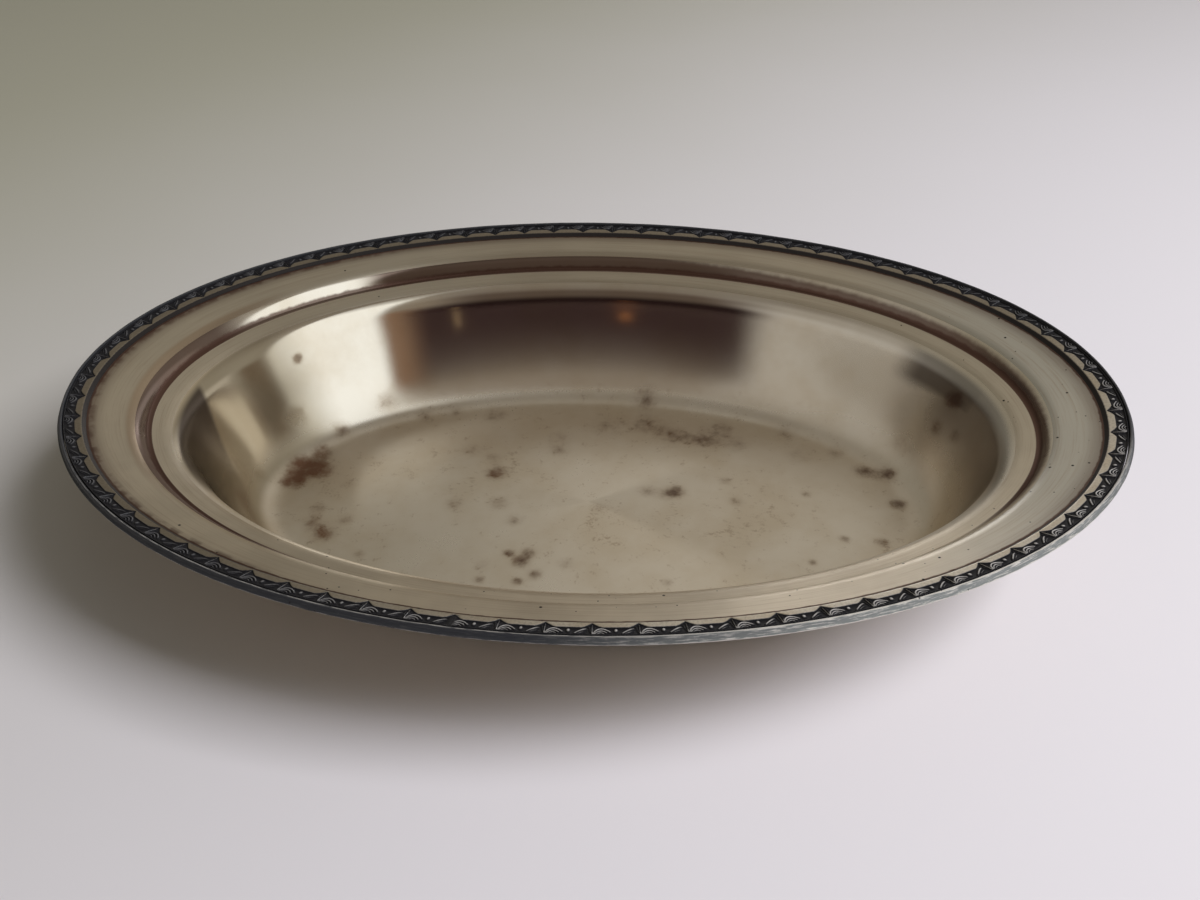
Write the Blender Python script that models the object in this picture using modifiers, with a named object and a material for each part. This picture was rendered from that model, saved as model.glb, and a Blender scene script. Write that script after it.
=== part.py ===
"""Oval serving bowl: a pressed metal dish with a rolled border strip and a plain edge wire soldered on.

Metres, +Z up. The origin lies on the table under the middle of the bowl, and the long axis is X.
Every section of the bowl is measured inwards from the outermost oval (the inset) and up from the table.
"""

import math

import bmesh
import bpy
from mathutils import Vector
from mathutils.geometry import interpolate_bezier

# Overall size, over the edge wire
LENGTH = 0.300
WIDTH = 0.202
HEIGHT = 0.047

# Sheet metal and soldered joints
SHEET = 0.0008
SOLDER_GAP = 0.00025
SEAM_GAP = 0.0003

# Edge wire
WIRE_WIDTH = 0.0015
WIRE_CHAMFER = 0.0004
WIRE_SEAM_ANGLE = math.radians(268.0)

# Border strip, across its width: bead, sunk ornament, plain strip, riser
BEAD_WIDTH = 0.0004
ORNAMENT_WIDTH = 0.0026
PLAIN_WIDTH = 0.00165
RISER_RUN = 0.0012
STRIP_THICKNESS = 0.0006
ORNAMENT_SINK = 0.00025
RISER_TOE = 0.00015
STRIP_BELOW_WIRE = 0.00025
STRIP_SEAM_ANGLE = math.radians(261.4)

# Dish profile, from the edge inwards
MARGIN_DROP = 0.0012
FLANGE_AT_ENDS = 0.0125
FLANGE_AT_SIDES = 0.0087
FLANGE_DROP = 0.0025
STEP_RUN = 0.0036
STEP_DROP = 0.0038
SHELF_WIDTH = 0.0075
SHELF_DROP = 0.0027
BEND_INSIDE = 0.0010
WALL_LEAN = 0.0070
WALL_REACH = 0.0165
WALL_RUN = 0.0185
FLOOR_SWEEP = 0.0060
REST_WIDTH = 0.0060
FLOOR_CROWN = 0.0008
CROWN_REACH = 0.85

# Facets and shading
STATIONS = 80
BEND_STEPS = 3
WALL_STEPS = 9
CROWN_STEPS = 3
SHARP_ANGLE = math.radians(35)

# Bezier handles that reach this far to a corner make its rounding a parabola
HANDLE_REACH = 2 / 3

# Places that several pieces share
EDGE_INSET = WIRE_WIDTH + SOLDER_GAP
STRIP_TOP = BEAD_WIDTH + ORNAMENT_WIDTH + PLAIN_WIDTH
STRIP_FOOT = STRIP_TOP + RISER_RUN
EDGE_TOP = HEIGHT - STRIP_BELOW_WIRE - STRIP_THICKNESS - SOLDER_GAP

# Finishes
SILVER = (0.60, 0.56, 0.48, 1.0)
SILVER_ROUGHNESS = 0.28
TARNISHED_SILVER = (0.30, 0.29, 0.28, 1.0)
TARNISHED_ROUGHNESS = 0.40
WORN_SILVER = (0.52, 0.50, 0.46, 1.0)
WORN_ROUGHNESS = 0.35


def clear_scene():
    """Removes whatever the scene holds."""
    for obj in list(bpy.data.objects):
        bpy.data.objects.remove(obj)


def metal(name, colour, roughness):
    """A Principled metal of one colour."""
    material = bpy.data.materials.new(name)
    material.use_nodes = True
    shader = material.node_tree.nodes["Principled BSDF"]
    shader.inputs["Base Color"].default_value = colour
    shader.inputs["Metallic"].default_value = 1.0
    shader.inputs["Roughness"].default_value = roughness
    return material


def profile_point(inset, height):
    """A point of a section: x is the inset from the outermost oval, z the height over the table."""
    return Vector((inset, 0.0, height))


def bend(before, corner, after, reach):
    """Points of a rounded corner that starts and ends at the given reach from it."""
    start = corner + (before - corner).normalized() * reach
    end = corner + (after - corner).normalized() * reach
    start_handle = start.lerp(corner, HANDLE_REACH)
    end_handle = end.lerp(corner, HANDLE_REACH)
    return interpolate_bezier(start, start_handle, end_handle, end, BEND_STEPS + 1)


def dish_profile(half_size, flange_width):
    """Upper face of the dish on one axis of the oval, from its cut edge to the middle of its floor."""
    edge = profile_point(EDGE_INSET, EDGE_TOP)
    strip_foot = edge + profile_point(STRIP_FOOT, -MARGIN_DROP)
    flange_end = strip_foot + profile_point(flange_width, -FLANGE_DROP)
    step_end = flange_end + profile_point(STEP_RUN, -STEP_DROP)
    well_edge = step_end + profile_point(SHELF_WIDTH, -SHELF_DROP)
    wall_handle = well_edge + profile_point(WALL_LEAN, -WALL_REACH)
    floor_edge = profile_point(well_edge.x + WALL_RUN, SHEET)
    floor_handle = floor_edge - profile_point(FLOOR_SWEEP, 0.0)
    outer_bend = BEND_INSIDE + SHEET
    points = [edge, strip_foot]
    points += bend(strip_foot, flange_end, step_end, outer_bend)
    points += bend(flange_end, step_end, well_edge, BEND_INSIDE)
    rounded_edge = bend(step_end, well_edge, wall_handle, outer_bend)
    points += rounded_edge
    points += interpolate_bezier(rounded_edge[-1], wall_handle, floor_handle, floor_edge, WALL_STEPS + 1)[1:]
    rest_end = floor_edge + profile_point(REST_WIDTH, 0.0)
    for step in range(CROWN_STEPS + 1):
        share = step / CROWN_STEPS
        inset = rest_end.x + (half_size - rest_end.x) * CROWN_REACH * share
        rise = FLOOR_CROWN * (1 - math.cos(math.pi * share)) / 2
        points.append(profile_point(inset, SHEET + rise))
    return points


def strip_profile():
    """Closed section of the border strip, which lies on the sloping margin of the dish."""

    def over_margin(run, lift):
        fall = MARGIN_DROP * run / STRIP_FOOT
        return profile_point(EDGE_INSET + run, EDGE_TOP - fall + SOLDER_GAP + lift)

    ornament_start = BEAD_WIDTH + ORNAMENT_SINK
    ornament_end = BEAD_WIDTH + ORNAMENT_WIDTH - ORNAMENT_SINK
    sunk = STRIP_THICKNESS - ORNAMENT_SINK
    return [
        over_margin(0.0, 0.0),
        over_margin(STRIP_FOOT, 0.0),
        over_margin(STRIP_FOOT, RISER_TOE),
        over_margin(STRIP_TOP, STRIP_THICKNESS),
        over_margin(BEAD_WIDTH + ORNAMENT_WIDTH, STRIP_THICKNESS),
        over_margin(ornament_end, sunk),
        over_margin(ornament_start, sunk),
        over_margin(BEAD_WIDTH, STRIP_THICKNESS),
        over_margin(0.0, STRIP_THICKNESS),
    ]


def wire_profile():
    """Closed section of the edge wire: it covers the cut edges of sheet and strip, corners eased."""
    low = EDGE_TOP - SHEET
    return [
        profile_point(WIRE_WIDTH, low),
        profile_point(WIRE_WIDTH, HEIGHT - WIRE_CHAMFER),
        profile_point(WIRE_WIDTH - WIRE_CHAMFER, HEIGHT),
        profile_point(WIRE_CHAMFER, HEIGHT),
        profile_point(0.0, HEIGHT - WIRE_CHAMFER),
        profile_point(0.0, low + WIRE_CHAMFER),
        profile_point(WIRE_CHAMFER, low),
    ]


def on_oval(angle, at_end, at_side):
    """Place at an angle of the oval, between a section's point at the ends and the same one at the sides."""
    across = math.cos(angle)
    along = math.sin(angle)
    height = at_end.z * across**2 + at_side.z * along**2
    return Vector(((LENGTH / 2 - at_end.x) * across, (WIDTH / 2 - at_side.x) * along, height))


def loft(rows, capped):
    """Four-sided faces between neighbouring rows of points, each row a closed loop; caps close the ends."""
    shape = bmesh.new()
    loops = [[shape.verts.new(point) for point in row] for row in rows]
    for loop, next_loop in zip(loops, loops[1:]):
        for place in range(len(loop)):
            shape.faces.new((loop[place - 1], loop[place], next_loop[place], next_loop[place - 1]))
    shape.faces.new(loops[-1])
    if capped:
        shape.faces.new(reversed(loops[0]))
        bmesh.ops.recalc_face_normals(shape, faces=shape.faces)
    return shape


def add_piece(name, shape, material, collection, parent):
    """Makes a named, smooth-shaded object of a shape."""
    mesh = bpy.data.meshes.new(name)
    shape.to_mesh(mesh)
    shape.free()
    mesh.shade_smooth()
    mesh.set_sharp_from_angle(angle=SHARP_ANGLE)
    mesh.materials.append(material)
    piece = bpy.data.objects.new(name, mesh)
    piece.parent = parent
    collection.objects.link(piece)
    return piece


def add_bowl_body(collection, parent):
    """The pressed dish: an open surface lofted ring by ring, then given the sheet's thickness downwards."""
    at_ends = dish_profile(LENGTH / 2, FLANGE_AT_ENDS)
    at_sides = dish_profile(WIDTH / 2, FLANGE_AT_SIDES)
    turns = [math.tau * station / STATIONS for station in range(STATIONS)]
    rings = [[on_oval(turn, end, side) for turn in turns] for end, side in zip(at_ends, at_sides)]
    material = metal("silver_plate", SILVER, SILVER_ROUGHNESS)
    body = add_piece("bowl_body", loft(rings, capped=False), material, collection, parent)
    thickness = body.modifiers.new("sheet", "SOLIDIFY")
    thickness.thickness = SHEET
    thickness.offset = -1.0
    thickness.use_even_offset = True
    return body


def half_turn(seam_angle):
    """Angles along half the oval, from just past one seam to just short of the opposite one."""
    pace = math.hypot(LENGTH / 2 * math.sin(seam_angle), WIDTH / 2 * math.cos(seam_angle))
    clearance = SEAM_GAP / 2 / pace
    first = seam_angle + clearance
    last = seam_angle + math.pi - clearance
    turn = math.tau / STATIONS
    between = [turn * station for station in range(math.floor(first / turn) + 1, math.ceil(last / turn))]
    return [first, *between, last]


def add_half(name, section, seam_angle, material, collection, parent):
    """One length of strip or wire: its section carried along half the oval, closed at both seams."""
    rows = [[on_oval(angle, point, point) for point in section] for angle in half_turn(seam_angle)]
    return add_piece(name, loft(rows, capped=True), material, collection, parent)


def build():
    """Clears the scene and makes the bowl's five pieces."""
    clear_scene()
    collection = bpy.data.collections.new("oval_serving_bowl")
    bpy.context.scene.collection.children.link(collection)
    centre = bpy.data.objects.new("bowl_centre", None)
    collection.objects.link(centre)
    add_bowl_body(collection, centre)
    patina = metal("tarnished_border", TARNISHED_SILVER, TARNISHED_ROUGHNESS)
    worn = metal("worn_edge", WORN_SILVER, WORN_ROUGHNESS)
    for side, half in (("right", 0.0), ("left", math.pi)):
        add_half(f"border_strip_{side}", strip_profile(), STRIP_SEAM_ANGLE + half, patina, collection, centre)
        add_half(f"edge_wire_{side}", wire_profile(), WIRE_SEAM_ANGLE + half, worn, collection, centre)


build()
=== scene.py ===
# %% [markdown]
# # An oval serving bowl in aged silver plate
# The real bowl was pressed from one sheet of metal, and a rolled leaf border and a plain wire were soldered
# round its edge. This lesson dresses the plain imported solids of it. It loads them as a fixed frame, sets up
# a camera, a table and the light of a room, then makes each piece again as a fine surface and gives it its
# finish. Everything is in metres, with +X along the bowl and +Z up.

# %% Load the frame
from math import pi, radians, sin, tau

import bpy
import numpy as np
from mathutils import Matrix, Quaternion, Vector


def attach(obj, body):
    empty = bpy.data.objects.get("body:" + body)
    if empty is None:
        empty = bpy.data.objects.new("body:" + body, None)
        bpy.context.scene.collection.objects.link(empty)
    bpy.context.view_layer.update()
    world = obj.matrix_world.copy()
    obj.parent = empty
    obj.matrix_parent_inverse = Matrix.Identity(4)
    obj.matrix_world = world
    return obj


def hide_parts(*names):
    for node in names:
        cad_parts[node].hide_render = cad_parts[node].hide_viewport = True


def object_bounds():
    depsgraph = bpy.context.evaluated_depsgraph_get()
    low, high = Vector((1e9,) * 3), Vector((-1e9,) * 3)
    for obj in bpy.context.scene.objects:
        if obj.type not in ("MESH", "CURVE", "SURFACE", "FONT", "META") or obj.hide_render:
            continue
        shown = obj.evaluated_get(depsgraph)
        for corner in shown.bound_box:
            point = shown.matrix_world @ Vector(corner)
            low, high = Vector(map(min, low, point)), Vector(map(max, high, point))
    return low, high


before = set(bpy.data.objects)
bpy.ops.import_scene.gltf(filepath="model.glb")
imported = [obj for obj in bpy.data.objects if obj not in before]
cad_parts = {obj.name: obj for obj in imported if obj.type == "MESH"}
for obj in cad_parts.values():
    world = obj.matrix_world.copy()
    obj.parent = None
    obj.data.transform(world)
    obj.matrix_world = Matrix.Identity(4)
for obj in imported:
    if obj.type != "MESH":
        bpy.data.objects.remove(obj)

MM = 0.001
cad_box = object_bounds()
LENGTH, WIDTH, HEIGHT = cad_box[1] - cad_box[0]
print(f"packed solids: {LENGTH / MM:.1f} x {WIDTH / MM:.1f} x {HEIGHT / MM:.1f} mm")

# %% [markdown]
# ## The camera
# A polished bowl is mostly a picture of the room around it, so the camera comes first: what each bit of
# metal mirrors depends on where the eye is. The eye here stands over the long side and looks down at about
# 37 degrees. It was found by fitting the ovals of rim, border, flange and well to the photograph, which
# also gave the small roll of a camera held in the hand.

# %% Stand the camera
EYE = Vector((27.0, -272.7, 229.6)) * MM
AIM = Vector((6.4, -33.1, 47.0)) * MM
ROLL = radians(-1.06)
LENS = 34.5

camera = bpy.data.objects.new("camera", bpy.data.cameras.new("camera"))
camera.data.lens = LENS
facing = (AIM - EYE).to_track_quat("-Z", "Y") @ Quaternion((0, 0, 1), ROLL)
camera.matrix_world = Matrix.LocRotScale(EYE, facing, None)
bpy.context.scene.collection.objects.link(camera)
bpy.context.scene.camera = camera
bpy.context.scene.view_settings.view_transform = "Standard"
print(f"camera: {(AIM - EYE).length / MM:.0f} mm from its aim, lens {LENS} mm")

# %% [markdown]
# ## Shader arithmetic
# A finish is a set of formulas: where the metal is scratched, how dark a stain is, how rough a worn ridge.
# Blender writes such a formula as a web of nodes. The class below wraps one socket of that web and overloads
# the arithmetic operators, so that a formula is written as Python and the nodes follow from it.


# %% One varying value
class Field:
    """A value that varies over a surface: one output socket of a node tree."""

    def __init__(self, tree, socket=None):
        self.tree = tree
        self.socket = socket

    def node(self, kind, settings=None, sockets=None, output=0):
        """Adds any node: settings come first, then values or links for its sockets. Gives one output."""
        made = self.tree.nodes.new(f"ShaderNode{kind}")
        for name, value in (settings or {}).items():
            setattr(made, name, value)
        for key, value in (sockets or {}).items():
            self.feed(made.inputs[key], value)
        return Field(self.tree, made.outputs[output])

    def feed(self, socket, value):
        """Links a field to a socket, or sets a plain value on it."""
        if isinstance(value, Field):
            self.tree.links.new(value.socket, socket)
        else:
            socket.default_value = value

    def math(self, operation, *values):
        """A Math node on fields and numbers."""
        return self.node("Math", {"operation": operation}, dict(enumerate(values)))

    def __add__(self, other):
        return self.math("ADD", self, other)

    def __radd__(self, other):
        return self.math("ADD", other, self)

    def __sub__(self, other):
        return self.math("SUBTRACT", self, other)

    def __rsub__(self, other):
        return self.math("SUBTRACT", other, self)

    def __mul__(self, other):
        return self.math("MULTIPLY", self, other)

    def __rmul__(self, other):
        return self.math("MULTIPLY", other, self)

    def rise(self, low, high):
        """0 up to low, 1 from high on, and a smooth step between them. Turned round, it falls."""
        limits = {"Value": self, "From Min": low, "From Max": high}
        return self.node("MapRange", {"interpolation_type": "SMOOTHSTEP"}, limits)

    def blend(self, none, full):
        """Mixes two colours by this field: 0 gives the first and 1 the second."""
        return self.node("Mix", {"data_type": "RGBA"}, {0: self, 6: none, 7: full}, output=2)

    def parts(self):
        """The three numbers of a vector, as fields."""
        split = self.node("SeparateXYZ", sockets={0: self}).socket.node
        return [Field(self.tree, socket) for socket in split.outputs]

    def noise(self, scale, detail=3.0, roughness=0.5):
        """Cloudy noise from 0 to 1, at this many clouds to the metre of the field it is asked of."""
        values = {"Vector": self, "Scale": scale, "Detail": detail, "Roughness": roughness}
        return self.node("TexNoise", sockets=values)


# %% Helper for materials
def make_finish(name, recipe):
    """A material whose Principled sockets get the values and fields that the recipe gives."""
    material = bpy.data.materials.new(name)
    material.use_nodes = True
    shader = material.node_tree.nodes["Principled BSDF"]
    start = Field(material.node_tree)
    for socket, value in recipe(start).items():
        start.feed(shader.inputs[socket], value)
    print(f"finish {name}: {len(material.node_tree.nodes)} nodes")
    return material


# %% [markdown]
# ## The room
# The bowl shows a room: at the right of the camera a tall window with a curtain, behind the camera a dark end
# with two small lights, and brighter and dimmer walls all round. A picture of a room could be wrapped round
# the scene, but soft-edged patches over the two angles of the sky do the same and stay easy to change. Each
# patch has a colour, its azimuths, its elevations and the softness of its edges, in degrees. Azimuth 0 is
# along +X, at the right, and -90 is behind the camera. A later patch covers the earlier ones.
#
# Metal mirrors the room at its full strength. Matt surfaces get only a share of its light, because most of
# theirs comes from the lamp, and the bowl's shadow on the table stays deep.

# %% Patches of the room
CEILING = (0.20, 0.177, 0.145, 1.0)
HORIZON = (0.32, 0.294, 0.25, 1.0)
CEILING_START = 0.80
MATT_SHARE = 0.55
PATCHES = {
    "dim left wall": ((0.24, 0.222, 0.18, 1.0), (104, 200), (-30, 62), (24, 24)),
    "foot of the left wall": ((0.10, 0.092, 0.082, 1.0), (138, 200), (-30, 14), (16, 14)),
    "pale wall behind": ((0.41, 0.385, 0.34, 1.0), (-166, -112), (-12, 34), (10, 18)),
    "right wall": ((0.42, 0.40, 0.352, 1.0), (-6, 60), (-20, 48), (16, 24)),
    "back wall": ((0.47, 0.435, 0.37, 1.0), (56, 99), (26, 60), (14, 18)),
    "foot of the back wall": ((0.72, 0.70, 0.655, 1.0), (14, 92), (-6, 18), (9, 10)),
    "low pane": ((3.2, 3.14, 3.08, 1.0), (80, 90), (-8, 8), (4, 6)),
    "dim end": ((0.23, 0.197, 0.158, 1.0), (-114, -50), (-40, 58), (10, 24)),
    "dark end": ((0.032, 0.018, 0.018, 1.0), (-118, -58), (-40, 21), (8, 24)),
    "dim corner": ((0.22, 0.175, 0.13, 1.0), (-9, 6), (-20, 14), (6, 10)),
    "curtain": ((0.20, 0.12, 0.072, 1.0), (-60.5, -52), (-10, 26), (9, 16)),
    "window": ((1.0, 1.02, 0.99, 1.0), (-53.5, -12), (0, 72), (4, 8)),
    "glow": ((0.10, 0.045, 0.028, 1.0), (-98.5, -95.5), (-6, 8), (2, 3)),
    "lamp": ((0.34, 0.14, 0.052, 1.0), (-97.7, -96.3), (8.8, 10.2), (0.8, 0.8)),
    "candle": ((0.6, 0.43, 0.24, 1.0), (-70.4, -70.0), (7.8, 10.4), (0.5, 0.8)),
}
print(f"room: {len(PATCHES)} patches")


# %% Paint the room by direction
def patch(direction, azimuths, elevations, soft):
    """1 inside a patch of the room, from its lowest to its highest azimuth and elevation in degrees."""
    x, y, z = direction.parts()
    turn = direction.math("ARCTAN2", y, x)
    around = [radians(azimuth) for azimuth in azimuths]
    up = [sin(radians(elevation)) for elevation in elevations]
    edge = radians(soft[0]) / 2
    lift = sin(radians(soft[1])) / 2
    inside = turn.rise(around[0] - edge, around[0] + edge) * turn.rise(around[1] + edge, around[1] - edge)
    return inside * z.rise(up[0] - lift, up[0] + lift) * z.rise(up[1] + lift, up[1] - lift)


def paint_room(world):
    """Blends the patches over one another. Rays that show or mirror the room see its full strength."""
    world.use_nodes = True
    start = Field(world.node_tree)
    direction = start.node("TexCoord", output="Generated")
    height = direction.parts()[2]
    room = height.rise(CEILING_START, 1.0).blend(HORIZON, CEILING)
    for colour, azimuths, elevations, soft in PATCHES.values():
        room = patch(direction, azimuths, elevations, soft).blend(room, colour)
    rays = ("Is Camera Ray", "Is Glossy Ray", "Is Transmission Ray")
    seen = sum(start.node("LightPath", output=ray) for ray in rays)
    shown = seen.math("MINIMUM", seen, 1)
    background = world.node_tree.nodes["Background"]
    start.feed(background.inputs["Color"], room)
    start.feed(background.inputs["Strength"], MATT_SHARE + shown * (1 - MATT_SHARE))


world = bpy.data.worlds.new("room")
paint_room(world)
bpy.context.scene.world = world
print(f"room: {len(world.node_tree.nodes)} nodes")

# %% [markdown]
# ## The key light and the table
# The window side also lights the table and throws the bowl's soft shadow to the left. One area lamp stands
# for that. The metal already mirrors the painted window, so the lamp itself is kept out of its reflections.
# The table is a wide pale disc with painted shade, darker and yellower towards the back on the left.

# %% Hang the key light
KEY_PLACE = Vector((0.80, -0.26, 0.97))
KEY_AIM = Vector((0.0, 0.03, 0.0))
KEY_SIZE = 0.56
KEY_POWER = 17.4
KEY_COLOUR = (0.91, 0.91, 1.0)

key = bpy.data.objects.new("key_light", bpy.data.lights.new("key_light", "AREA"))
key.data.size = KEY_SIZE
key.data.energy = KEY_POWER
key.data.color = KEY_COLOUR
key.visible_glossy = False
key.matrix_world = Matrix.LocRotScale(KEY_PLACE, (KEY_AIM - KEY_PLACE).to_track_quat("-Z", "Y"), None)
bpy.context.scene.collection.objects.link(key)
print(f"key light: {KEY_POWER} W, {(KEY_AIM - KEY_PLACE).length:.2f} m away")

# %% Lay the table
TABLE_RADII = np.array([0.2, 0.4, 0.8, 1.6])
TABLE_SPOKES = 96
TABLE_COLOUR = (0.735, 0.71, 0.705, 1.0)
# Colour of the painted shade at the back on the left.
TABLE_SHADE = (0.49, 0.478, 0.37, 1.0)


def lay_table():
    """A flat disc: rings of points round one in the middle."""
    spokes = np.linspace(0, tau, TABLE_SPOKES + 1)[:-1]
    rings = TABLE_RADII[:, None, None] * np.stack([np.cos(spokes), np.sin(spokes)], -1)
    flat = np.concatenate([rings.reshape(-1, 2), [[0.0, 0.0]]])
    here = np.arange(TABLE_SPOKES)
    after = np.roll(here, -1)
    band = np.stack([here, here + TABLE_SPOKES, after + TABLE_SPOKES, after], 1)
    quads = (band + np.arange(len(TABLE_RADII) - 1)[:, None, None] * TABLE_SPOKES).reshape(-1, 4)
    fan = np.stack([np.full(TABLE_SPOKES, len(flat) - 1), here, after], 1)
    mesh = bpy.data.meshes.new("table")
    mesh.from_pydata(np.pad(flat, ((0, 0), (0, 1))).tolist(), [], quads.tolist() + fan.tolist())
    table = bpy.data.objects.new("table", mesh)
    bpy.context.scene.collection.objects.link(table)
    return table


def pale_table(start):
    """Matt paint, a little uneven, with painted shade that darkens and yellows it towards the back on the
    left.
    """
    place = start.node("TexCoord", output="Object")
    x, y = place.parts()[:2]
    # Painted shade: darker and yellower towards the back on the left, away from the lamp.
    table_painted_shade = y * 0.7 - x + (place.noise(5, 3) - 0.5) * 0.1
    return {
        "Base Color": table_painted_shade.rise(-0.12, 0.62).blend(TABLE_COLOUR, TABLE_SHADE),
        "Roughness": 0.6,
        "Specular IOR Level": 0.2,
    }


lay_table().data.materials.append(make_finish("pale_table", pale_table))
print(f"table: {TABLE_RADII[-1] * 2:.1f} m across")

# %% [markdown]
# ## Skins over ovals
# Every piece of this bowl goes round the same oval, so one helper makes them all. It takes a stack of closed
# rings of points, joins neighbours with four-sided faces and closes both ends of the stack with a fan. For
# the dish the rings are ovals and the stack runs from the middle of the floor over the rim to the underside.
# For strip and wire the rings are sections, and the stack runs along half the oval.


# %% Helpers for skins
SHARP_ANGLE = radians(65)


def skin(name, rings, ends):
    """A closed, smooth mesh object over rings of points, with a fan to one point at each end."""
    stack, around = rings.shape[:2]
    points = np.concatenate([rings.reshape(-1, 3), ends])
    here = np.arange(around)
    after = np.roll(here, -1)
    band = np.stack([here, after, after + around, here + around], 1)
    quads = (band + np.arange(stack - 1)[:, None, None] * around).reshape(-1, 4)
    last = (stack - 1) * around
    first_fan = np.stack([after, here, np.full(around, len(points) - 2)], 1)
    last_fan = np.stack([here + last, after + last, np.full(around, len(points) - 1)], 1)
    corners = points[quads[:, :3]]
    volume = np.einsum("ij,ij->", corners[:, 0], np.cross(corners[:, 1], corners[:, 2]))
    faces = [side[:, ::-1] if volume < 0 else side for side in (quads, first_fan, last_fan)]
    mesh = bpy.data.meshes.new(name)
    mesh.from_pydata(points.tolist(), [], [face for side in faces for face in side.tolist()])
    mesh.shade_smooth()
    mesh.set_sharp_from_angle(angle=SHARP_ANGLE)
    piece = bpy.data.objects.new(name, mesh)
    bpy.context.scene.collection.objects.link(piece)
    print(f"{name}: {2 * len(quads) + 2 * around} triangles")
    return piece


def note(piece, name, values):
    """Keeps a number, or a vector, for each point of a piece, where its finish can read it."""
    kind, slot = ("FLOAT", "value") if values.ndim == 1 else ("FLOAT_VECTOR", "vector")
    attribute = piece.data.attributes.new(name, kind, "POINT")
    attribute.data.foreach_set(slot, values.astype(np.float32).ravel())


def on_oval(angles, at_ends, at_sides):
    """Places on ovals round Z: x and y shrink by the inset of a section, heights go from ends to sides."""
    across = np.cos(angles)
    along = np.sin(angles)
    x = (LENGTH / 2 - at_ends[..., 0]) * across
    y = (WIDTH / 2 - at_sides[..., 0]) * along
    z = at_ends[..., 1] * across**2 + at_sides[..., 1] * along**2
    return np.stack([x, y, z], -1)


# %% [markdown]
# ## The dish
# The dish is one sheet: from its cut edge a margin runs under the border, then come a dipping flange, a
# curved step, a narrow shelf, the rounded edge of the well, a deep wall and a slightly crowned floor. It
# could be a lathe shape scaled to an oval, but then border, step and shelf would be half as wide again at the
# ends, where only the flange is wider. So the section is written twice, for the ends and for the sides, each
# with its own flange width and its own lean of the wall, and each point of the oval blends the two. The
# underside is that section moved by the sheet's thickness.

# %% Sizes of the dish
SHEET = 0.8 * MM
SOLDER_GAP = 0.25 * MM
EDGE_INSET = 1.75 * MM
EDGE_DEPTH = 1.1 * MM
EDGE_TOP = HEIGHT - EDGE_DEPTH
STRIP_FOOT = 5.85 * MM
MARGIN_DROP = 1.2 * MM
FLANGE_AT_ENDS = 12.5 * MM
FLANGE_AT_SIDES = 8.7 * MM
FLANGE_DROP = 2.5 * MM
STEP = np.array([3.6, -4.3]) * MM
SHELF = np.array([7.5, -2.2]) * MM
WALL_HANDLE_AT_ENDS = np.array([7.2, -16.0]) * MM
WALL_HANDLE_AT_SIDES = np.array([5.2, -16.0]) * MM
WALL_RUN = 18.5 * MM
FLOOR_SWEEP = 5.2 * MM
FLOOR_CROWN = 0.8 * MM
STEP_BROW = np.array([0.3, -0.05]) * MM
STEP_TOE = np.array([1.1, -0.15]) * MM
TIGHT_BEND = 0.6 * MM
STEP_BEND = 3.0 * MM
WIDE_BEND = 4.6 * MM
FLOOR_EASE = 5.0 * MM
EASE_SAMPLES = 15
MARGIN_POINTS = 4
FLANGE_POINTS = 12
BEND_POINTS = 13
SHELF_POINTS = 8
WALL_POINTS = 45
FLOOR_POINTS = 78


# %% Section of the dish
def bezier(points, steps):
    """Points on a curve with three or four control points, weighted by the Bernstein formula."""
    share = np.linspace(0, 1, steps)[:, None]
    degree = len(points) - 1
    binomial = [1, degree, degree, 1] if degree == 3 else [1, 2, 1]
    terms = [n * share**k * (1 - share) ** (degree - k) * points[k] for k, n in enumerate(binomial)]
    return sum(terms)


def rounded(before, corner, after, reach):
    """A rounded corner: a parabola that starts and ends at the given reach from it."""
    start = corner + (before - corner) / np.linalg.norm(before - corner) * reach
    end = corner + (after - corner) / np.linalg.norm(after - corner) * reach
    return bezier([start, corner, end], BEND_POINTS)


def eased(section, middle):
    """Softens a bend round one of its points: near it, each point moves to the mean of its neighbourhood."""
    length = np.r_[0, np.cumsum(np.linalg.norm(np.diff(section, axis=0), axis=1))]
    window = length[:, None] + np.linspace(-FLOOR_EASE, FLOOR_EASE, EASE_SAMPLES)
    mean = np.stack([np.interp(window, length, section[:, axis]).mean(1) for axis in range(2)], 1)
    nearness = np.exp(-(((length - length[middle]) / (2 * FLOOR_EASE)) ** 2))
    return section + (mean - section) * nearness[:, None]


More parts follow.
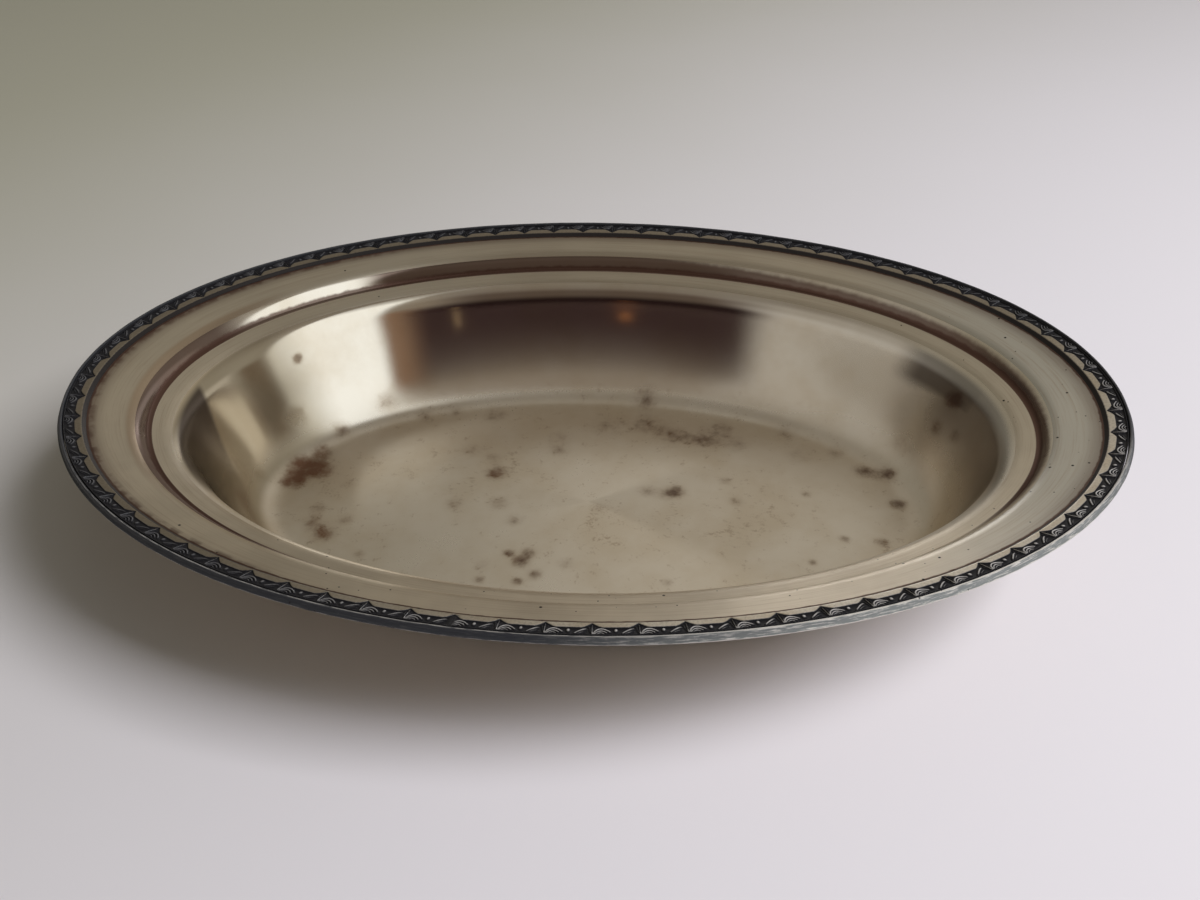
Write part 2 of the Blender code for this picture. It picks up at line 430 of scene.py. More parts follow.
def dish_section(half_size, flange_width, handle):
    """Inset and height of the dish's upper face, from its cut edge inwards, and the row each part ends at."""
    edge = np.array([EDGE_INSET, EDGE_TOP])
    foot = edge + (STRIP_FOOT, -MARGIN_DROP)
    flange_end = foot + (flange_width, -FLANGE_DROP)
    step_end = flange_end + STEP
    well_edge = step_end + SHELF
    wall_handle = well_edge + handle
    floor_edge = np.array([well_edge[0] + WALL_RUN, SHEET])
    step_top = flange_end + STEP_BROW
    step_foot = step_end - STEP_TOE
    flange_bend = rounded(foot, step_top, step_foot, STEP_BEND)
    step_bend = rounded(step_top, step_foot, well_edge, TIGHT_BEND)
    well_bend = rounded(step_end, well_edge, wall_handle, WIDE_BEND)
    wall = bezier([well_bend[-1], wall_handle, floor_edge - (FLOOR_SWEEP, 0), floor_edge], WALL_POINTS)
    share = np.linspace(0, 1, FLOOR_POINTS)[1:-1]
    floor_inset = floor_edge[0] + (half_size - floor_edge[0]) * share
    floor = np.stack([floor_inset, SHEET + FLOOR_CROWN * (1 - np.cos(pi * share)) / 2], 1)
    margin = bezier([edge, (edge + foot) / 2, foot], MARGIN_POINTS)[:-1]
    flange = bezier([foot, (foot + flange_bend[0]) / 2, flange_bend[0]], FLANGE_POINTS)[:-1]
    shelf_middle = (step_bend[-1] + well_bend[0]) / 2
    shelf = bezier([step_bend[-1], shelf_middle, well_bend[0]], SHELF_POINTS)[1:-1]
    well_side = np.concatenate([shelf, well_bend[:-1]])
    parts = [margin, flange, flange_bend, step_bend, well_side, wall, floor]
    part_ends = np.cumsum([len(part) for part in parts])
    return eased(np.concatenate(parts), part_ends[-2]), part_ends


def underside(section):
    """The section moved square to itself by the sheet's thickness."""
    slope = np.gradient(section, axis=0)
    square = np.stack([slope[:, 1], -slope[:, 0]], 1)
    return section + SHEET * square / np.linalg.norm(square, axis=1, keepdims=True)


# %% Skin of the dish
STATIONS = 416
COARSE = 3

section_end, part_ends = dish_section(LENGTH / 2, FLANGE_AT_ENDS, WALL_HANDLE_AT_ENDS)
section_side, part_ends = dish_section(WIDTH / 2, FLANGE_AT_SIDES, WALL_HANDLE_AT_SIDES)
STEP_ROW, FACE_ROW, SHELF_ROW, WALL_ROW, FLOOR_ROW, LAST_ROW = part_ends.tolist()[1:]
below_end = underside(section_end)[::COARSE]
below_side = underside(section_side)[::COARSE]
rows_end = np.concatenate([section_end[::-1], below_end])
rows_side = np.concatenate([section_side[::-1], below_side])
turns = np.linspace(0, tau, STATIONS + 1)[:-1]
dish_rings = on_oval(turns, rows_end[:, None], rows_side[:, None])
middle = np.array([[0, 0, SHEET + FLOOR_CROWN], [0, 0, FLOOR_CROWN]])
dish = skin("dish", dish_rings, middle)
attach(dish, "root")
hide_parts("bowl_body")

# %% [markdown]
# ## Marks on the dish
# The finish needs to know where on the dish it is. Each point keeps how far along the section it lies, and
# its turn round the oval as a cosine and a sine, which meet without a seam. Stains are given as a list of
# spots, each with its place on the floor or wall, its size and how dark it is. Summed up, they are one
# smooth number that the finish later breaks up with noise.

# %% Note the rings and the stains
STAINS = {
    "left end": [
        (-94, 9, 5, 0.9), (-90, 15, 5, 0.9), (-90, 22, 4, 0.7), (-98, 27, 4, 0.8), (-86, 31, 3.5, 0.8),
        (-97, 15, 4, 0.7), (-86, 10, 4, 0.6), (-101, 24, 3, 0.7),
        (-96, 5, 4, 0.8), (-105, 3, 3, 0.8), (-84, -7, 3, 0.6), (-84, -14, 3.5, 0.7), (-79, -19, 4, 0.9),
        (-74, -12, 2.5, 0.7), (-66, -27, 2, 0.7), (-98.5, 36.8, 1.7, 1.5), (-78, 5, 4, 0.4),
    ],
    "back": [
        (-73, 44, 4, 0.5), (-60, 43, 4, 0.6), (-50, 46, 4, 0.5), (-36, 45, 5, 0.6), (-13, 33, 4.5, 0.5),
        (-12, 26, 4, 0.5), (2, 41, 7, 0.5), (16, 42, 7, 0.6), (26, 36, 6, 0.65), (36, 35, 5, 0.8),
        (41, 42, 5, 0.6), (15, 56, 5, 0.75), (46, 33, 5, 0.5), (62, 40, 5, 0.5), (66, 28, 5, 0.45),
        (78, 30, 4, 0.5),
    ],
    "middle": [
        (-41, 25, 4, 0.6), (-33, 21, 3, 0.6), (-31, 13, 4, 1.0), (-42, -3, 3.5, 0.55), (-28, -2, 4, 0.5),
        (-22, -10, 3.2, 0.6), (-22, -24.5, 2.0, 0.8), (-16, -24, 2.4, 0.9), (-18, -28, 2.6, 1.1),
        (-29, -36, 1.8, 0.8), (-18, -36, 1.8, 0.9), (-13, -33, 2.6, 0.7), (-5, -28, 3, 0.5),
        (-29, -30, 3, 0.4), (3, -3, 4, 0.3),
    ],
    "right end": [
        (17, 6, 3.5, 0.5), (24, 5, 3.5, 0.6), (27, 7, 3, 0.7), (42, 13, 2.5, 0.5), (45, 3, 3, 0.5),
        (25, -34, 2, 0.5), (86, 21, 3.5, 0.9), (93, 19, 3.5, 1.0), (98, 26, 5, 0.5), (106, 21, 3, 0.8),
        (110, 14, 3, 0.6), (109, 23, 3, 0.9), (111, 21, 3, 0.9), (95, 5, 3, 0.9), (88, -13, 2.6, 0.6),
        (77, -12, 1.8, 0.8), (67, -23, 1.6, 0.7), (67, 8, 2, 0.5),
    ],
}


def stain_at(points):
    """Sum of a bell curve round each spot: its strength times e to minus its squared distance in sizes."""
    spots = np.array([spot for group in STAINS.values() for spot in group])
    apart = ((points[:, None, :2] / MM - spots[:, :2]) ** 2).sum(-1)
    nearest = apart.argmin(0)
    apart = apart + ((points[:, None, 2] - points[nearest, 2]) / MM) ** 2
    return (spots[:, 3] * np.exp(-apart / spots[:, 2] ** 2)).sum(1)


def note_dish():
    """Keeps ring places and stains on the dish's points; the two end points belong to the floor's middle."""
    length = np.cumsum(np.r_[0, np.linalg.norm(np.diff(section_side, axis=0), axis=1)])
    along = np.concatenate([length[::-1], length[::COARSE]])
    ring = np.stack(np.broadcast_arrays(np.cos(turns), np.sin(turns), along[:, None]), -1).reshape(-1, 3)
    ends = [[1, 0, length[-1]]] * 2
    note(dish, "ring", np.concatenate([ring, ends]))
    flat = dish_rings.reshape(-1, 3)
    upper = len(section_end) * STATIONS
    stain = stain_at(flat[:upper])
    note(dish, "stain", np.r_[stain, np.zeros(len(flat) - upper + 2)])
    return length


section_length = note_dish()
FOOT_AT = float(np.hypot(STRIP_FOOT, MARGIN_DROP))
part_rows = (STEP_ROW, FACE_ROW, SHELF_ROW, WALL_ROW, FLOOR_ROW)
BROW_AT, CREASE_AT, SHELF_AT, WELL_AT, FLOOR_AT = (float(section_length[row]) for row in part_rows)
print(f"dish: section {section_length[-1] / MM:.0f} mm long, {sum(map(len, STAINS.values()))} stains")

# %% [markdown]
# ## Satin flange
# The flange was brushed round and round, so it mirrors nothing sharply and glints where its brush lines lie
# square to the window. A picture of scratches would do for the lines but not for the glint. The shader has an
# anisotropic setting for that, and left to itself it takes its direction round the Z axis, which is how this
# metal was brushed. Years have left a warm film, fine lines, black pits and a dark seam at the border's foot.
# Painted shade darkens the flange towards the back and at the right end, and a painted highlight brightens
# the edge of the well at the near right.

# %% Colours of the dish
SILVER = (0.90, 0.84, 0.755, 1.0)
FILM = (0.80, 0.715, 0.60, 1.0)
BROWN = (0.13, 0.07, 0.056, 1.0)
UMBER = (0.42, 0.315, 0.225, 1.0)
DUSKY = (0.65, 0.58, 0.487, 1.0)
RUST = (0.24, 0.115, 0.07, 1.0)
PIT = (0.020, 0.017, 0.016, 1.0)
SMOKE = (0.062, 0.044, 0.039, 1.0)
AMBER = (0.44, 0.375, 0.275, 1.0)
# Dull silver of the underside's film, also the painted shade on the back half of the flange.
DULL_SILVER_AND_SHADE = (0.60, 0.545, 0.455, 1.0)
# Cooler painted shade for the flange's right end.
COOL_SHADE = (0.62, 0.615, 0.585, 1.0)
# Colour of the painted highlight at the near right.
SHEEN_PAINT = (0.95, 0.925, 0.885, 1.0)
BRUSH_STRETCH = 0.0018


# %% Recipe of the satin flange
def pits(place, cell, size, share):
    """1 in small round holes: near the middle of Voronoi cells whose random number is under a share."""
    cells = place.node("TexVoronoi", sockets={"Vector": place, "Scale": 1 / cell})
    chance = Field(place.tree, cells.socket.node.outputs["Color"]).parts()[0]
    return cells.rise(size / cell, 0.6 * size / cell) * chance.rise(share, share * 0.98)


def painted_sheen_edge(ring):
    """1 on the rounded edge of the well at the near right, where a painted highlight brightens the metal."""
    across, beside, along = ring.parts()
    near_right = across.rise(0.25, 0.55) * (0.35 + beside.rise(0.2, -0.55) * 0.65)
    edge = along.rise(WELL_AT - 7 * MM, WELL_AT - 4 * MM) * along.rise(WELL_AT, WELL_AT - 2 * MM)
    return near_right * edge


def satin_flange(start):
    """Brushed silver with a warm film, fine lines, pits and a dark line along the foot of the border."""
    place = start.node("TexCoord", output="Object")
    x, y = place.parts()[:2]
    ring = start.node("Attribute", {"attribute_name": "ring"}, output="Vector")
    brush_place = start.node("Mapping", sockets={"Vector": ring, "Scale": (BRUSH_STRETCH, BRUSH_STRETCH, 1)})
    brush = brush_place.noise(2600, 4, 0.65)
    cloud = place.noise(24, 4, 0.6)
    across, _, along = ring.parts()
    speck = place.noise(1500, 2)
    colour = cloud.rise(0.35, 0.68).blend(FILM, DUSKY)
    foot = along - (place.noise(420, 3) - 0.5) * (0.5 * MM)
    seam = foot.rise(FOOT_AT + 0.45 * MM, FOOT_AT + 0.1 * MM)
    grime = along.rise(FOOT_AT + 3.6 * MM, FOOT_AT) * y.rise(-0.08, -0.03)
    brow = along.rise(BROW_AT - 0.6 * MM, BROW_AT + 1.2 * MM) * across.rise(-0.75, -0.93)
    brow = brow * along.rise(BROW_AT + 6 * MM, BROW_AT + 5 * MM)
    caught = place.noise(260, 3).rise(0.40, 0.62) * 0.7 + 0.3
    smear = along.rise(FOOT_AT + 1.9 * MM, FOOT_AT + 0.4 * MM) * x.rise(-0.055, -0.085) * caught
    nearer = (x * 0.6 - y).rise(-0.02, 0.09)
    hole = pits(place, 4.0 * MM, 0.45 * MM, 0.05 + nearer * 0.38)
    hole = hole + pits(place, 2.3 * MM, 0.27 * MM, 0.02 + nearer * 0.28)
    # Painted shade: the flange is darker towards the back, and a cooler grey at the right end.
    colour = (y.rise(-0.07, 0.03) * 0.75).blend(colour, DULL_SILVER_AND_SHADE)
    right_end_shade = x.rise(0.07, 0.13) * along.rise(BROW_AT + 6 * MM, BROW_AT + 4 * MM)
    colour = (right_end_shade * 0.8).blend(colour, COOL_SHADE)
    colour = (brush.rise(0.45, 0.75) * 0.35).blend(colour, UMBER)
    colour = (grime * 0.5).blend(colour, BROWN)
    colour = (brow * 0.75).blend(colour, UMBER)
    colour = (smear * 0.75).blend(colour, BROWN)
    colour = (seam * 0.9).blend(colour, BROWN)
    # Painted highlight on the edge of the well at the near right.
    colour = (painted_sheen_edge(ring) * 0.9).blend(colour, SHEEN_PAINT)
    colour = hole.blend(colour, PIT)
    height = brush * 0.7 + speck * 0.3 - hole * 2
    return {
        "Base Color": colour,
        "Metallic": 1.0,
        "Roughness": 0.22 + cloud * 0.10 + brush * 0.10 + seam * 0.2,
        "Anisotropic": 0.8,
        "Anisotropic Rotation": 0.25,
        "Normal": start.node("Bump", sockets={"Height": height, "Strength": 0.3, "Distance": 0.03 * MM}),
    }


# %% [markdown]
# ## Polished step and well
# The step and the well are smoother: they mirror the window and the dark end of the room, and only the floor
# is hazy from use. Tarnish has gathered where a cloth does not reach, in the crease at the foot of the step
# and high on the wall at both ends, and at the front the edge of the well is rubbed dull. The step itself is
# darkened by tarnish and painted shade, left off where the window's reflection falls. The brown marks are
# stains in the metal. The stain number alone would give round blots, so noise of two sizes pushes it up and
# down first.


# %% Recipe of the polished step and well
def polished_well(start):
    """Hazy silver: smoother on the wall than on the floor, with tarnish in its creases, ragged stains,
    tarnish and painted shade on the step, and a painted highlight at the near right edge.
    """
    place = start.node("TexCoord", output="Object")
    ring = start.node("Attribute", {"attribute_name": "ring"}, output="Vector")
    stain = start.node("Attribute", {"attribute_name": "stain"}, output="Fac")
    across, beside, along = ring.parts()
    floor = along.rise(FLOOR_AT - 16 * MM, FLOOR_AT - 3 * MM)
    cloud = place.noise(30, 5, 0.6)
    grain = place.noise(330, 3, 0.55)
    mottle = place.noise(1300, 3, 0.6)
    pushed = along + (grain - 0.5) * (1.2 * MM)
    above_shelf = along.rise(SHELF_AT + 0.4 * MM, SHELF_AT - 0.3 * MM)
    away = (beside - across * 0.25).rise(-0.86, -0.58)
    crease = pushed.rise(CREASE_AT - 1.0 * MM, CREASE_AT) * above_shelf * away
    sunlit = across.rise(-0.94, -0.86) * across.rise(-0.57, -0.66) * beside.rise(0.1, 0.4)
    # Tarnish and painted shade on the step, left off where the window's reflection falls.
    lag = across.rise(-0.1, 0.6) * (2.4 * MM)
    band = (pushed - lag).rise(BROW_AT + 0.6 * MM, BROW_AT + 2.8 * MM) * above_shelf
    band = band * (1 - sunlit) * away
    dulled = beside.rise(-0.15, -0.5) * along.rise(SHELF_AT, SHELF_AT - 0.5 * MM)
    depth = (along - WELL_AT) * (1 / (FLOOR_AT - WELL_AT))
    wall = depth.rise(-0.16, -0.10) * depth.rise(0.98, 0.86)
    lip = depth.rise(-0.16, -0.08) * depth.rise(0.06, -0.02) * beside.rise(0.84, 0.94)
    right_end = across.rise(0.86, 0.965) * depth.rise(0.85, 0.15)
    amber = across.rise(-0.80, -0.91) * depth.rise(-0.20, -0.15) * depth.rise(0.98, 0.86)
    plum = across.rise(0.80, 0.875) * depth.rise(0.24, 0.08) * beside.rise(0.05, 0.25)
    left_end = across.rise(-0.78, -0.93) * (beside + depth * 0.25).rise(0.09, 0.05) * depth.rise(0.85, 0.0)
    ragged = stain * (grain * 1.3 + 0.25) + (mottle - 0.5) * 0.12
    halo = ragged.rise(0.06, 0.80)
    heart = ragged.rise(0.35, 1.15)
    freckle = (grain * 0.6 + mottle * 0.4 + cloud * 0.35).rise(0.73, 0.92) * floor
    colour = cloud.rise(0.35, 0.70).blend(SILVER, FILM)
    colour = (halo * 0.62 + freckle * 0.5).blend(colour, UMBER)
    rusty = cloud.rise(0.50, 0.62) * 0.7 + across.rise(-0.83, -0.9)
    colour = (heart * 0.85).blend(colour, rusty.blend(BROWN, RUST))
    colour = (amber * 0.85).blend(colour, AMBER)
    ends = right_end.math("MAXIMUM", right_end * 0.74 + left_end * 0.87, plum * 0.82) * wall
    colour = ends.blend(colour, SMOKE)
    colour = (lip * 0.7).blend(colour, BROWN)
    # Painted highlight on the edge of the well at the near right.
    colour = (painted_sheen_edge(ring) * 0.9).blend(colour, SHEEN_PAINT)
    colour = (dulled * 0.6).blend(colour, DUSKY)
    # Tarnish and painted shade on the step.
    colour = (band * 0.86).blend(colour, BROWN)
    colour = (crease * 0.85).blend(colour, BROWN)
    rubbed_edge = beside.rise(-0.25, -0.55) * depth.rise(0.16, -0.04)
    worn = across.rise(0.55, 0.80) * 0.13 + across.rise(-0.80, -0.92) * 0.06 + rubbed_edge * 0.24
    hazy = 0.05 + floor * 0.19 + cloud * 0.05 + crease * 0.15 + dulled * 0.3 + ends * 0.1 + worn
    height = grain * 0.5 + mottle * 0.3
    return {
        "Base Color": colour,
        "Metallic": 1.0,
        "Roughness": hazy + halo * 0.12 + mottle * 0.04,
        "Normal": start.node("Bump", sockets={"Height": height, "Strength": 0.2, "Distance": 0.02 * MM}),
    }


# %% Finish the dish
def row_of_faces(piece, around):
    """The ring that each face of a skin starts at, the fans at its two ends included."""
    rows = np.arange(len(piece.data.polygons) - 2 * around) // around
    return np.r_[rows, np.zeros(around, int), np.full(around, rows[-1] + 1)]


def tarnished_back(start):
    """The hidden underside: dull silver under a brown film that gathers in clouds."""
    place = start.node("TexCoord", output="Object")
    cloud = place.noise(40, 4, 0.6)
    return {
        "Base Color": cloud.rise(0.3, 0.75).blend(UMBER, DULL_SILVER_AND_SHADE),
        "Metallic": 1.0,
        "Roughness": 0.36 + cloud * 0.12,
    }


SATIN, POLISHED, TARNISHED = range(3)
SATIN_BROW = 6
POLISHED_EDGE = 9
for recipe in (satin_flange, polished_well, tarnished_back):
    dish.data.materials.append(make_finish(recipe.__name__, recipe))
section_row = LAST_ROW - 2 - row_of_faces(dish, STATIONS)
on_step = (section_row >= STEP_ROW + SATIN_BROW) & (section_row < SHELF_ROW)
polished = on_step | (section_row >= WALL_ROW - POLISHED_EDGE)
kinds = np.where(section_row < -1, TARNISHED, np.where(polished, POLISHED, SATIN))
dish.data.polygons.foreach_set("material_index", kinds.astype(np.int32))
dish.data.update()

# %% [markdown]
# ## The leaf border
# The border is a strip that a rolling die has stamped over and over: a small palmette that opens inwards, a
# feathered leaf on one side of it and a plainer one on the other, and a bud between neighbours, all on sunk
# dark ground. Carving each leaf as an object would cost far too many pieces. Instead one tile of heights is
# worked out, as curves with a rounded ridge of which the highest wins, and it is repeated 37 times along
# each half of the border. Both halves start and end in a soldered joint, where the stamping is blurred.

# %% Sizes of the border
MOTIFS = 37
MOTIF_STATIONS = 52
STRIP_SEAM = radians(261.4)
ORNAMENT_RING = 3.8 * MM
BEAD = 0.4
PLAIN_TOP = 0.60
GROUND = 0.20
CREST_TOP = 0.66
GROUND_WIDTH = 2.35
GROUND_EDGE = 0.22
BAY_DEPTH = 1.6
BAY_SIDE = 2.5
BAY_POINT = 1.4
BEAD_ROUNDING = 0.06
STAMPED_END = 4.35
PLAIN_END = 4.5
RISER_START = 4.65
RISER_EASE = 0.15
RISER_LENGTH = 1.35
STRIP_BACK = -0.3
JOINT_BLUR = 1.3
JOINT_START = 0.1
JOINT_FILL = 0.42
JOINT_WEAR = 0.25
JOINT_REACH = 4.3
CURVE_POINTS = 32
BEAD_POINTS = 6
STAMPED_POINTS = 35
RISER_POINTS = 7
LEAVES = {
    "vein": ([(0, 0.2, 0.64), (0, 1.2, 0.66), (0, 2.2, 0.64), (0, 3.4, 0.56)], 0.27),
    "right fan edge": ([(0.2, 0.5, 0.44), (0.45, 1.3, 0.52), (0.62, 2.1, 0.52), (0.75, 2.9, 0.46)], 0.24),
    "left fan edge": ([(-0.2, 0.5, 0.44), (-0.45, 1.3, 0.52), (-0.62, 2.1, 0.52), (-0.75, 2.9, 0.46)], 0.24),
    "upper feather": ([(0.3, 0.2, 0.60), (0.9, 2.2, 0.70), (2.3, 2.5, 0.70), (3.9, 0.9, 0.60)], 0.36),
    "middle feather": ([(0.6, 0.15, 0.58), (1.3, 1.35, 0.66), (2.2, 1.55, 0.66), (3.2, 0.55, 0.57)], 0.33),
    "lower feather": ([(1.05, 0.1, 0.55), (1.6, 0.65, 0.62), (2.1, 0.7, 0.62), (2.6, 0.15, 0.55)], 0.27),
    "left leaf": ([(-1.3, 2.0, 0.52), (-1.9, 1.95, 0.64), (-2.8, 1.3, 0.66), (-3.8, 0.45, 0.56)], 0.40),
    "left rib": ([(-1.5, 1.05, 0.46), (-2.1, 0.95, 0.57), (-2.7, 0.6, 0.57), (-3.3, 0.2, 0.50)], 0.26),
}
BUD_PLACE = (5.22, 1.45)
BUD_SIZE = (0.72, 0.95)
BUD_TOP = 0.65


# %% Relief of one motif
def crest(along, across, curve, width):
    """Height of a raised line: round each point of a curve a round hill, and the highest hill wins."""
    points = bezier(np.array(curve), CURVE_POINTS)
    reach = np.hypot(along[..., None] - points[:, 0], across[..., None] - points[:, 1]) / width
    return (points[:, 2] * (1 - reach**2)).max(-1)


def smooth_step(value):
    """0 below 0, 1 above 1, and an eased rise between."""
    share = np.clip(value, 0, 1)
    return share**2 * (3 - 2 * share)


def motif_relief(along, across):
    """Heights in mm over the strip's back: sunk ground, pointed inwards at the palmette, and leaves on it."""
    aside = np.abs(along)
    bay = np.clip(1 - aside / BAY_SIDE, 0, 1) ** BAY_POINT
    ground_width = GROUND_WIDTH + BAY_DEPTH * bay
    heights = GROUND + (PLAIN_TOP - GROUND) * smooth_step((across - ground_width) / GROUND_EDGE)
    for curve, width in LEAVES.values():
        heights = np.maximum(heights, crest(along, across, curve, width))
    off_along = (aside - BUD_PLACE[0]) / BUD_SIZE[0]
    off_across = (across - BUD_PLACE[1]) / BUD_SIZE[1]
    dome = BUD_TOP * (1 - off_along**2 - off_across**2)
    return np.clip(np.maximum(heights, dome), GROUND, CREST_TOP)


# %% Section of the strip
bead_run = np.linspace(0, BEAD, BEAD_POINTS + 1)[:-1]
stamped_run = np.linspace(BEAD, STAMPED_END, STAMPED_POINTS)
riser_run = np.linspace(RISER_START, STRIP_FOOT / MM, RISER_POINTS)
strip_run = np.concatenate([bead_run, stamped_run, [PLAIN_END], riser_run])
print(f"border section: {len(strip_run)} points over {strip_run[-1]:.2f} mm")


def strip_heights(along):
    """Heights in mm over the strip's back for places along it: bead, ornament, plain edge and riser."""
    across = strip_run - BEAD
    distance, inwards = np.broadcast_arrays(along[:, None], across)
    bead = PLAIN_TOP * np.sqrt(np.clip(1 - ((strip_run - BEAD / 2) / (BEAD / 2 + BEAD_ROUNDING)) ** 2, 0, 1))
    fall = smooth_step((strip_run - RISER_START + RISER_EASE) / RISER_LENGTH)
    riser = PLAIN_TOP + (STRIP_BACK - PLAIN_TOP) * fall
    stamped = motif_relief(distance, inwards)
    heights = np.where(strip_run < BEAD, np.maximum(bead, GROUND), stamped)
    return np.where(strip_run >= PLAIN_END, riser, heights)


# %% Skins of the two strips
ARC_POINTS = 20001


def even_turns(start, inset, count):
    """Angles along half an oval, from a seam on, that lie evenly in arc length on the ring at an inset."""
    fine = np.linspace(start, start + pi, ARC_POINTS)
    ring = np.stack([(LENGTH / 2 - inset) * np.cos(fine), (WIDTH / 2 - inset) * np.sin(fine)], 1)
    length = np.r_[0, np.cumsum(np.linalg.norm(np.diff(ring, axis=0), axis=1))]
    return np.interp(np.linspace(0, length[-1], count + 1), length, fine), length[-1]


def strip_half(name, seam):
    """One length of the border: relief over its sloping back, closed below and at both joints."""
    count = MOTIFS * MOTIF_STATIONS
    angles, length = even_turns(seam, ORNAMENT_RING, count)
    pitch = length / MOTIFS / MM
    place = np.arange(count + 1) / MOTIF_STATIONS * pitch
    heights = strip_heights((place + pitch / 2) % pitch - pitch / 2)
    from_joint = np.minimum(place, place[-1] - place)[:, None]
    filled = np.where(strip_run < JOINT_REACH, np.maximum(JOINT_FILL, heights - JOINT_WEAR), heights)
    heights = filled + (heights - filled) * smooth_step(from_joint / JOINT_BLUR - JOINT_START)
    back = np.full((count + 1, 2), STRIP_BACK)
    run = np.r_[strip_run, strip_run[-1], 0] * MM
    relief = np.concatenate([heights, back], 1)
    base = EDGE_TOP - MARGIN_DROP * run / STRIP_FOOT + SOLDER_GAP
    section = np.stack(np.broadcast_arrays(EDGE_INSET + run, base + relief * MM), -1)
    rings = on_oval(angles[:, None], section, section)
    piece = skin(name, rings, rings[[0, -1]].mean(1))
    note(piece, "relief", np.r_[relief.ravel(), 0, 0])
    inwards = np.broadcast_to(run / MM, relief.shape)
    note(piece, "inwards", np.r_[inwards.ravel(), 0, 0])
    print(f"{name}: {MOTIFS} motifs, {pitch:.2f} mm apart")
    return piece


strips = {}
for side, half_turn in (("right", 0.0), ("left", pi)):
    strips[side] = strip_half(f"leaf_strip_{side}", STRIP_SEAM + half_turn)
    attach(strips[side], "root")
    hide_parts(f"border_strip_{side}")

# %% [markdown]
# ## Patina of the border
# Silversmiths blacken such a border and then wipe it, so the ground stays black and the crests come out
# bright. Here the relief height itself is the mask. A little noise moves the line between the two. The plain
# edge keeps the warm film of the flange, and the riser at its foot was never wiped and stays dark. Crests and
# plain edge are painted lighter on the near right, where the light falls, and in painted shade on the far
# side.


# %% Recipe of the border
PATINA = (0.012, 0.012, 0.015, 1.0)
CREST = (0.64, 0.62, 0.585, 1.0)
# Painted shade: crests and plain edge on the far side.
SHADED_CREST = (0.12, 0.12, 0.125, 1.0)
SHADED_PLAIN = (0.36, 0.315, 0.26, 1.0)
UNCLEANED = (0.022, 0.018, 0.017, 1.0)


def leaf_border(start):
    """Black ground, bright wiped crests, a filmed plain edge and a dark riser, with painted light on the near
    right and painted shade on the far side.
    """
    place = start.node("TexCoord", output="Object")
    relief = start.node("Attribute", {"attribute_name": "relief"}, output="Fac")
    inwards = start.node("Attribute", {"attribute_name": "inwards"}, output="Fac")
    grain = place.noise(1500, 3, 0.6)
    cloud = place.noise(70, 3)
    height = relief + (grain - 0.5) * 0.16
    wiped = height.rise(0.42, 0.64) * inwards.rise(0.35, 0.6)
    plain = inwards.rise(2.6, 3.2) * height.rise(0.50, 0.56)
    riser = inwards.rise(4.6, 4.95)
    x, y = place.parts()[:2]
    # Painted light and shade: crests and plain edge are lighter on the near right, where the light falls, and
    # darker on the far side.
    lit_near_right = (x * 0.6 - y).rise(0.02, 0.14)
    edge = cloud.rise(0.4, 0.7).blend(SILVER, FILM)
    silver = plain.blend(lit_near_right.blend(SHADED_CREST, CREST), lit_near_right.blend(SHADED_PLAIN, edge))
    colour = wiped.blend(PATINA, silver)
    colour = riser.blend(colour, UNCLEANED)
    return {
        "Base Color": colour,
        "Metallic": 0.5 + plain * 0.5,
        "Roughness": 0.42 - wiped * 0.16 + grain * 0.08,
        "Normal": start.node("Bump", sockets={"Height": grain, "Strength": 0.3, "Distance": 0.04 * MM}),
    }


border_finish = make_finish("leaf_border", leaf_border)
for strip in strips.values():
    strip.data.materials.append(border_finish)

# %% [markdown]
# ## The edge wire
# A plain wire binds the cut edges of sheet and strip. Its section is a narrow rounded ridge on top, a hollow
# that slopes outwards, and a small bead below, each a Bezier curve. Years of handling have rubbed the ridge
# and the bead bright in streaks and left the hollow dull. A painted highlight runs along ridge and bead at
# the front, and the near right is painted lighter where the light falls. So each point keeps its place along
# and round the wire and how far it stands proud. Slow waves along the wire keep it from looking machined.

# %% Skins of the two wires
WIRE_SEAM = radians(268.0)
WIRE_WIDTH = 1.5
WIRE_LOW = -1.9
WIRE_STATIONS = 560
WIRE_POINTS = 10
WEAR = 0.03
WEAR_WAVES = (2.9, 7.3)
WORN_INSET = 1.0
RIDGE = [(1.5, -0.5), (1.5, 0.14), (0.75, 0.14), (0.66, -0.35)]
COVE = [(0.66, -0.35), (0.6, -0.85), (0.4, -1.2), (0.08, -1.36)]
LOW_BEAD = [(0.08, -1.36), (-0.07, -1.45), (-0.07, -1.9), (0.3, -1.9)]


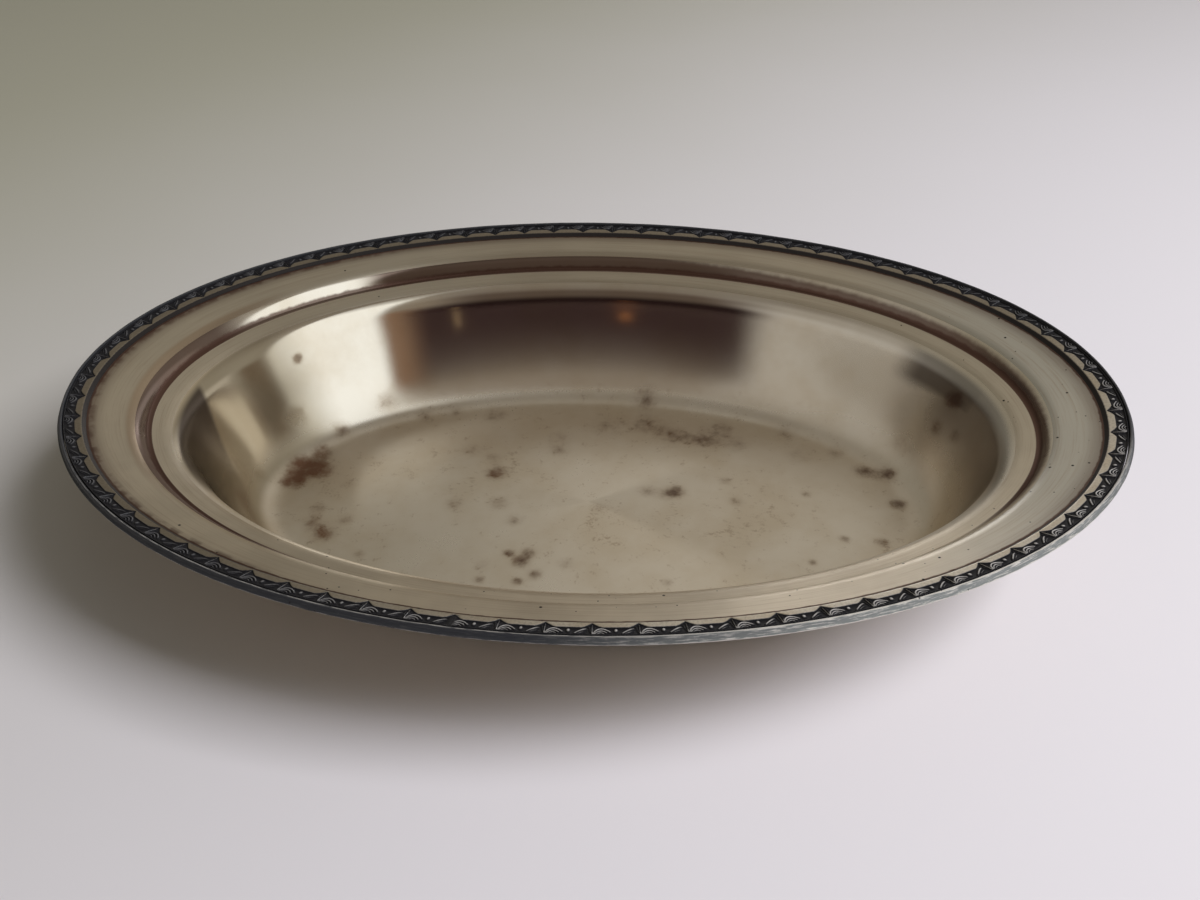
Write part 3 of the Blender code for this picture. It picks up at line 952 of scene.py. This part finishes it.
def wire_half(name, seam):
    """One length of wire: a closed section of ridge, hollow and bead, carried along half the oval."""
    curves = [bezier(np.array(curve), WIRE_POINTS + 1)[:-1] for curve in (RIDGE, COVE, LOW_BEAD)]
    inset, height = np.concatenate([*curves, [LOW_BEAD[-1], (WIRE_WIDTH, WIRE_LOW)]]).T
    proud = np.exp(-np.linspace(-2, 2, WIRE_POINTS + 1)[:-1] ** 2)
    ridge = np.r_[proud, np.zeros(WIRE_POINTS), proud, 0, 0]
    angles, length = even_turns(seam, 0.0, WIRE_STATIONS)
    wave = np.linspace(0, length / MM, WIRE_STATIONS + 1)[:, None]
    worn = WEAR * (1 + np.sin(wave / WEAR_WAVES[0]) * np.sin(wave / WEAR_WAVES[1] + 1))
    section = np.stack(np.broadcast_arrays(inset + worn * (inset < WORN_INSET), height - worn * ridge), -1)
    section = section * MM + (0, HEIGHT)
    rings = on_oval(angles[:, None], section, section)
    piece = skin(name, rings, rings[[0, -1]].mean(1))
    girth = np.r_[0, np.cumsum(np.hypot(np.diff(inset), np.diff(height)))] * MM
    places = np.stack(np.broadcast_arrays(wave * MM, girth, ridge), -1)
    note(piece, "wire", np.concatenate([places.reshape(-1, 3), np.zeros((2, 3))]))
    return piece


wires = {}
for side, half_turn in (("right", 0.0), ("left", pi)):
    wires[side] = wire_half(f"rim_wire_{side}", WIRE_SEAM + half_turn)
    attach(wires[side], "root")
    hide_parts(f"edge_wire_{side}")


# %% Recipe of the worn wire
DULL = (0.045, 0.047, 0.052, 1.0)
# Painted light: the lighter grey of the near right.
LIT_GREY = (0.25, 0.265, 0.255, 1.0)
# Bright wear on the ridges, also the colour of their painted highlight.
BRIGHT_WEAR_AND_HIGHLIGHT = (0.72, 0.69, 0.63, 1.0)
STREAK_STRETCH = 0.1


def worn_wire(start):
    """Dull in the hollow and rubbed on the ridges in streaks, most at the near right, which is painted
    lighter where the light falls; a painted highlight runs along the ridges at the front.
    """
    place = start.node("TexCoord", output="Object")
    wire_place = start.node("Attribute", {"attribute_name": "wire"}, output="Vector")
    ridge = wire_place.parts()[2]
    stretched = start.node("Mapping", sockets={"Vector": wire_place, "Scale": (STREAK_STRETCH, 1, 0)})
    streak = stretched.noise(2600, 3, 0.6)
    grain = place.noise(1400, 3, 0.6)
    x, y = place.parts()[:2]
    # Painted light: the near right, where the light falls, is a lighter grey, and the streaks of wear gather
    # there.
    lit_near_right = (x * 0.55 - y).rise(0.095, 0.13)
    wear_and_highlight = (ridge * 0.6 + streak * 1.9 + grain * 0.3 - 1.05).rise(0.0, 0.5) * (0.04 + lit_near_right * 0.96)
    # Painted highlight along the ridge and bead at the front.
    ridge_highlight = ridge.rise(0.45, 0.95) * streak.rise(0.36, 0.56) * y.rise(-0.03, -0.08) * 0.5
    wear_and_highlight = wear_and_highlight.math("MAXIMUM", wear_and_highlight, ridge_highlight)
    colour = wear_and_highlight.blend(lit_near_right.blend(DULL, LIT_GREY), BRIGHT_WEAR_AND_HIGHLIGHT)
    nick = pits(place, 3.0 * MM, 0.3 * MM, 0.35)
    height = grain - nick
    return {
        "Base Color": nick.blend(colour, PIT),
        "Metallic": 0.5,
        "Specular IOR Level": 0.15,
        "Roughness": 0.50 - wear_and_highlight * 0.14 + grain * 0.08,
        "Normal": start.node("Bump", sockets={"Height": height, "Strength": 0.3, "Distance": 0.05 * MM}),
    }


wire_finish = make_finish("worn_wire", worn_wire)
for wire in wires.values():
    wire.data.materials.append(wire_finish)
